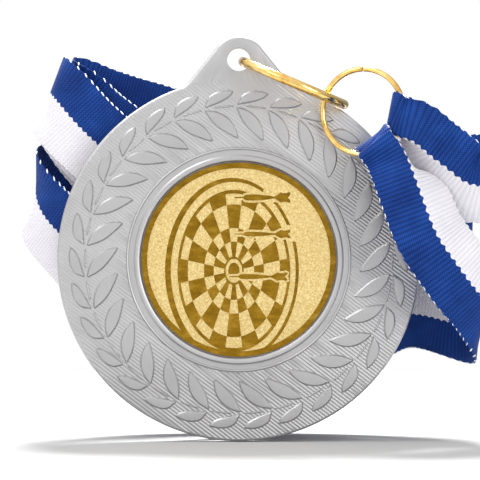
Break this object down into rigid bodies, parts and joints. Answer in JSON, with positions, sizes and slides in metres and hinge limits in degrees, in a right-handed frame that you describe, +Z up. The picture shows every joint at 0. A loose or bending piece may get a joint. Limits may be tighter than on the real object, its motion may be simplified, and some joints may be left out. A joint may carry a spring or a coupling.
{
  "type": "medal with neck ribbon",
  "caption": "Round pressed award medal with a glued gold centre, an eyelet tab, two jump rings and a narrow woven neck ribbon lying in a loose coil behind it.",
  "frame": {"origin": "centre of the disc's flat back face", "axes": "+Y out of the back of the medal, -Y towards the viewer of its front, +Z up through the eyelet, +X to the right"},
  "size_m": [0.0686, 0.0272, 0.0557],
  "materials": {
    "satin_silver": "satin silver plating over pressed zinc",
    "gold_foil": "polished and frosted gold",
    "adhesive": "foam tape",
    "gilt_thick_wire": "polished gilt wire",
    "gilt_wire": "polished wire",
    "ribbon": "woven, half blue and half white",
    "thread": "sewing thread"
  },
  "bodies": {
    "ribbon": {"ribbon_hem_lower": "ribbon", "ribbon_leg_lower": "ribbon", "ribbon_bend_lower": "ribbon", "ribbon_half_twist": "ribbon", "ribbon_rising_run": "ribbon", "ribbon_floor_run": "ribbon", "ribbon_turn_1_near": "ribbon", "ribbon_turn_1_far": "ribbon", "ribbon_turn_2_near": "ribbon", "ribbon_turn_2_far": "ribbon", "ribbon_turn_3_near": "ribbon", "ribbon_turn_3_far": "ribbon", "ribbon_last_turn_near": "ribbon", "ribbon_last_turn_far": "ribbon", "ribbon_bend_upper": "ribbon", "ribbon_leg_upper": "ribbon", "ribbon_hem_upper": "ribbon", "hem_thread_lower": "thread", "hem_thread_upper": "thread"},
    "ribbon_ring": {"ribbon_ring": "gilt_wire"},
    "link_ring": {"link_ring": "gilt_thick_wire"},
    "medal": {"medal_disc": "satin_silver", "emblem": "gold_foil", "emblem_pad": "adhesive"}
  },
  "joints": [
    {"name": "ribbon_ring_spin", "type": "hinge", "parent": "ribbon", "child": "ribbon_ring", "pos_m": [0.01698, -0.0052, 0.02027], "axis": [-0.3584, -0.9336, 0], "continuous": true},
    {"name": "link_ring_swing", "type": "hinge", "parent": "ribbon", "child": "link_ring", "pos_m": [0.0121, -0.0033, 0.0229], "axis": [0, 1, 0], "range_deg": [-15, 30]},
    {"name": "medal_swing", "type": "hinge", "parent": "link_ring", "child": "medal", "pos_m": [0.00063, -0.00112, 0.02733], "axis": [0, 1, 0], "range_deg": [0, 200]}
  ]
}
